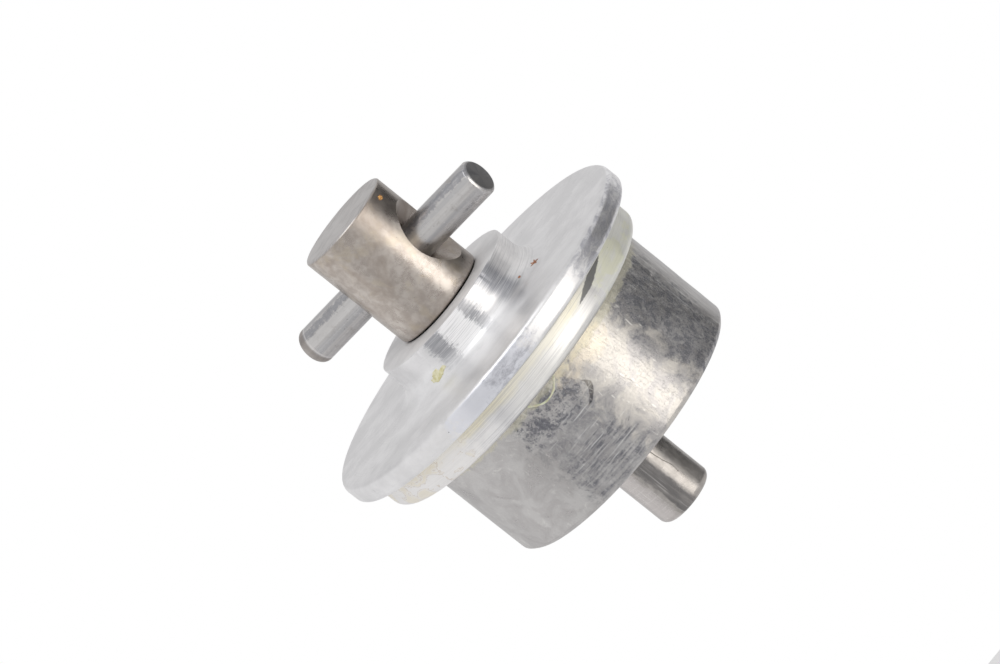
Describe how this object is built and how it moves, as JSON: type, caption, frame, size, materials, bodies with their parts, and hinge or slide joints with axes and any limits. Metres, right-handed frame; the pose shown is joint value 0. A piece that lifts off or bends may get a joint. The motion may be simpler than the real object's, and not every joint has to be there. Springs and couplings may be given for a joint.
{
  "type": "differential gear assembly",
  "caption": "Flanged coaxial differential: drive head with a cross pin above a stepped round flange, eccentric drum body and output shaft below.",
  "frame": {"origin": "centre of the flange rim's underside, on the shafts' common axis", "axes": "+Z along the shafts towards the drive head; +X the way the drum body stands off the shafts' axis"},
  "size_m": [0.06, 0.06, 0.0659],
  "materials": {
    "turned_aluminium": "turned, satin",
    "drum_metal": "fine satin, stained",
    "shaft_steel": "ground, mottled with age",
    "pin_steel": "ground, smooth",
    "gear_steel": "machined, oiled",
    "spring_steel": "blackened",
    "bush_bronze": "sintered bronze, oiled",
    "seal_rubber": "matt black nitrile",
    "sealant": "dried, dull yellowish"
  },
  "bodies": {
    "case": {"flange_cover": "turned_aluminium", "case_drum": "drum_metal", "case_o_ring": "seal_rubber", "seam_sealant": "sealant", "input_bush": "bush_bronze", "output_bush": "bush_bronze", "input_seal": "seal_rubber", "output_seal": "seal_rubber", "input_thrust_washer": "bush_bronze", "output_thrust_washer": "bush_bronze", "pinion_cross_shaft": "gear_steel", "cross_shaft_keepers": "drum_metal", "pinion_washer_a": "bush_bronze", "pinion_washer_b": "bush_bronze"},
    "input": {"input_shaft": "shaft_steel", "cross_pin": "pin_steel", "input_side_gear": "gear_steel", "input_key": "gear_steel", "input_circlip": "spring_steel"},
    "output": {"output_shaft": "shaft_steel", "output_side_gear": "gear_steel", "output_key": "gear_steel", "output_circlip": "spring_steel"},
    "pinion_a": {"pinion_gear_a": "gear_steel"},
    "pinion_b": {"pinion_gear_b": "gear_steel"}
  },
  "joints": [
    {"name": "input_spin", "type": "hinge", "parent": "case", "child": "input", "pos_m": [0, 0, 0.0179], "axis": [0, 0, 1], "continuous": true},
    {"name": "output_spin", "type": "hinge", "parent": "case", "child": "output", "pos_m": [0, 0, -0.0305], "axis": [0, 0, 1], "continuous": true},
    {"name": "pinion_a_spin", "type": "hinge", "parent": "case", "child": "pinion_a", "pos_m": [0.01, 0, -0.00925], "axis": [1, 0, 0], "continuous": true},
    {"name": "pinion_b_spin", "type": "hinge", "parent": "case", "child": "pinion_b", "pos_m": [-0.01, 0, -0.00925], "axis": [1, 0, 0], "continuous": true}
  ],
  "couplings": [
    {"joint": "output_spin", "follows": "input_spin", "ratio": -1},
    {"joint": "pinion_a_spin", "follows": "input_spin", "ratio": -1.5},
    {"joint": "pinion_b_spin", "follows": "input_spin", "ratio": 1.5}
  ]
}
